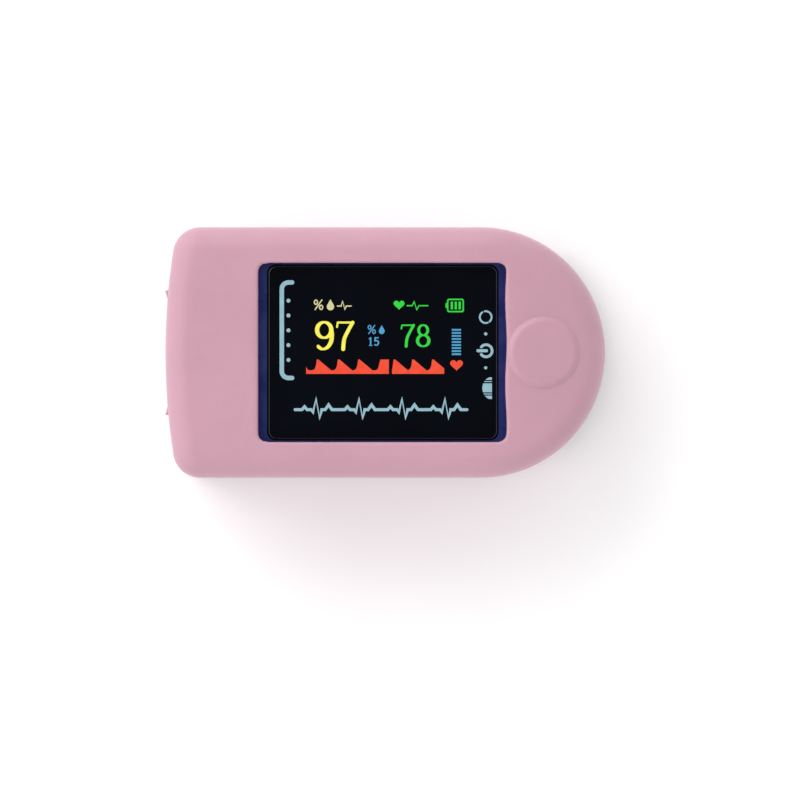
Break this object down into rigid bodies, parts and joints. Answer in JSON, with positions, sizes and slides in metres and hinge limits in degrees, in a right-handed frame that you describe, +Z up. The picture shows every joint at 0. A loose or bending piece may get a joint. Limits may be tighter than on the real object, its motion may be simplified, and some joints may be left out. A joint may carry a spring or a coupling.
{
  "type": "fingertip pulse oximeter",
  "caption": "Fingertip pulse oximeter in a two-part silicone sleeve: sprung jaw halves, glossy colour display, raised button and sliding battery door.",
  "frame": {"origin": "centre of the bounding box's bottom, on the surface that the device stands on", "axes": "+X from the finger opening to the rounded tail, +Y across, +Z up out of the display"},
  "size_m": [0.06, 0.034, 0.0352],
  "materials": {
    "sleeve_silicone": "matte silicone",
    "housing_plastic": "satin moulded ABS",
    "tray_plastic": "fine moulded texture",
    "finger_pad_rubber": "matte silicone",
    "circuit_board": "green solder mask",
    "sensor_window": "clear red acrylic",
    "black_chip": "moulded epoxy",
    "emitter_body": "white ceramic",
    "cell_jacket": "satin printed jacket",
    "contact_nickel": "nickel plated",
    "pin_steel": "ground",
    "spring_steel": "drawn wire",
    "screw_steel": "black zinc",
    "polyimide": "amber film",
    "wire_red": "PVC jacket",
    "wire_black": "PVC jacket",
    "lens_acrylic": "gloss, back printed",
    "adhesive": "foam tape",
    "panel_glass": "polished",
    "white_plastic": "moulded",
    "capacitor_ceramic": "ceramic"
  },
  "bodies": {
    "lower": {"lower_sleeve": "sleeve_silicone", "lower_housing": "housing_plastic", "lower_tray": "tray_plastic", "lower_finger_pad": "finger_pad_rubber", "photodiode_board": "circuit_board", "photodiode": "black_chip", "photodiode_window": "sensor_window", "battery_cell_left": "cell_jacket", "battery_cell_right": "cell_jacket", "battery_bridge_contact": "contact_nickel", "battery_positive_contact": "contact_nickel", "battery_negative_contact": "contact_nickel", "hinge_pin": "pin_steel", "torsion_spring_left": "spring_steel", "torsion_spring_right": "spring_steel", "lower_case_screws": "screw_steel", "sensor_ribbon": "polyimide", "battery_wire_red": "wire_red", "battery_wire_black": "wire_black"},
    "battery_door": {"battery_door": "housing_plastic"},
    "upper": {"upper_sleeve": "sleeve_silicone", "upper_housing": "housing_plastic", "upper_tray": "tray_plastic", "upper_finger_pad": "finger_pad_rubber", "led_board": "circuit_board", "led_emitter": "emitter_body", "led_window": "sensor_window", "upper_case_screws": "screw_steel", "display_lens": "lens_acrylic", "lens_adhesive": "adhesive", "display_glass": "panel_glass", "display_backlight": "white_plastic", "display_bracket": "white_plastic", "display_ribbon": "polyimide", "main_board": "circuit_board", "board_screws": "screw_steel", "tact_switch": "black_chip", "processor_chip": "black_chip", "amplifier_chip": "black_chip", "crystal": "contact_nickel", "power_inductor": "black_chip", "chip_capacitors": "capacitor_ceramic", "ribbon_connector": "white_plastic"},
    "button": {"button_cap": "white_plastic", "sleeve_button_pad": "sleeve_silicone", "switch_plunger": "white_plastic"}
  },
  "joints": [
    {"name": "jaw_open", "type": "hinge", "parent": "lower", "child": "upper", "pos_m": [0.008, 0, 0.0198], "axis": [0, 1, 0], "range_deg": [0, 20], "stiffness_Nm_per_rad": 0.12, "springref_deg": -28.65, "deforming": ["torsion_spring_left", "torsion_spring_right", "sensor_ribbon", "battery_wire_red", "battery_wire_black"]},
    {"name": "button_press", "type": "slide", "parent": "upper", "child": "button", "axis": [0, 0, -1], "range_m": [0, 0.0003], "stiffness_N_per_m": 2000, "springref_m": -0.0002},
    {"name": "battery_door_slide", "type": "slide", "parent": "lower", "child": "battery_door", "axis": [1, 0, 0], "range_m": [0, 0.056]}
  ]
}
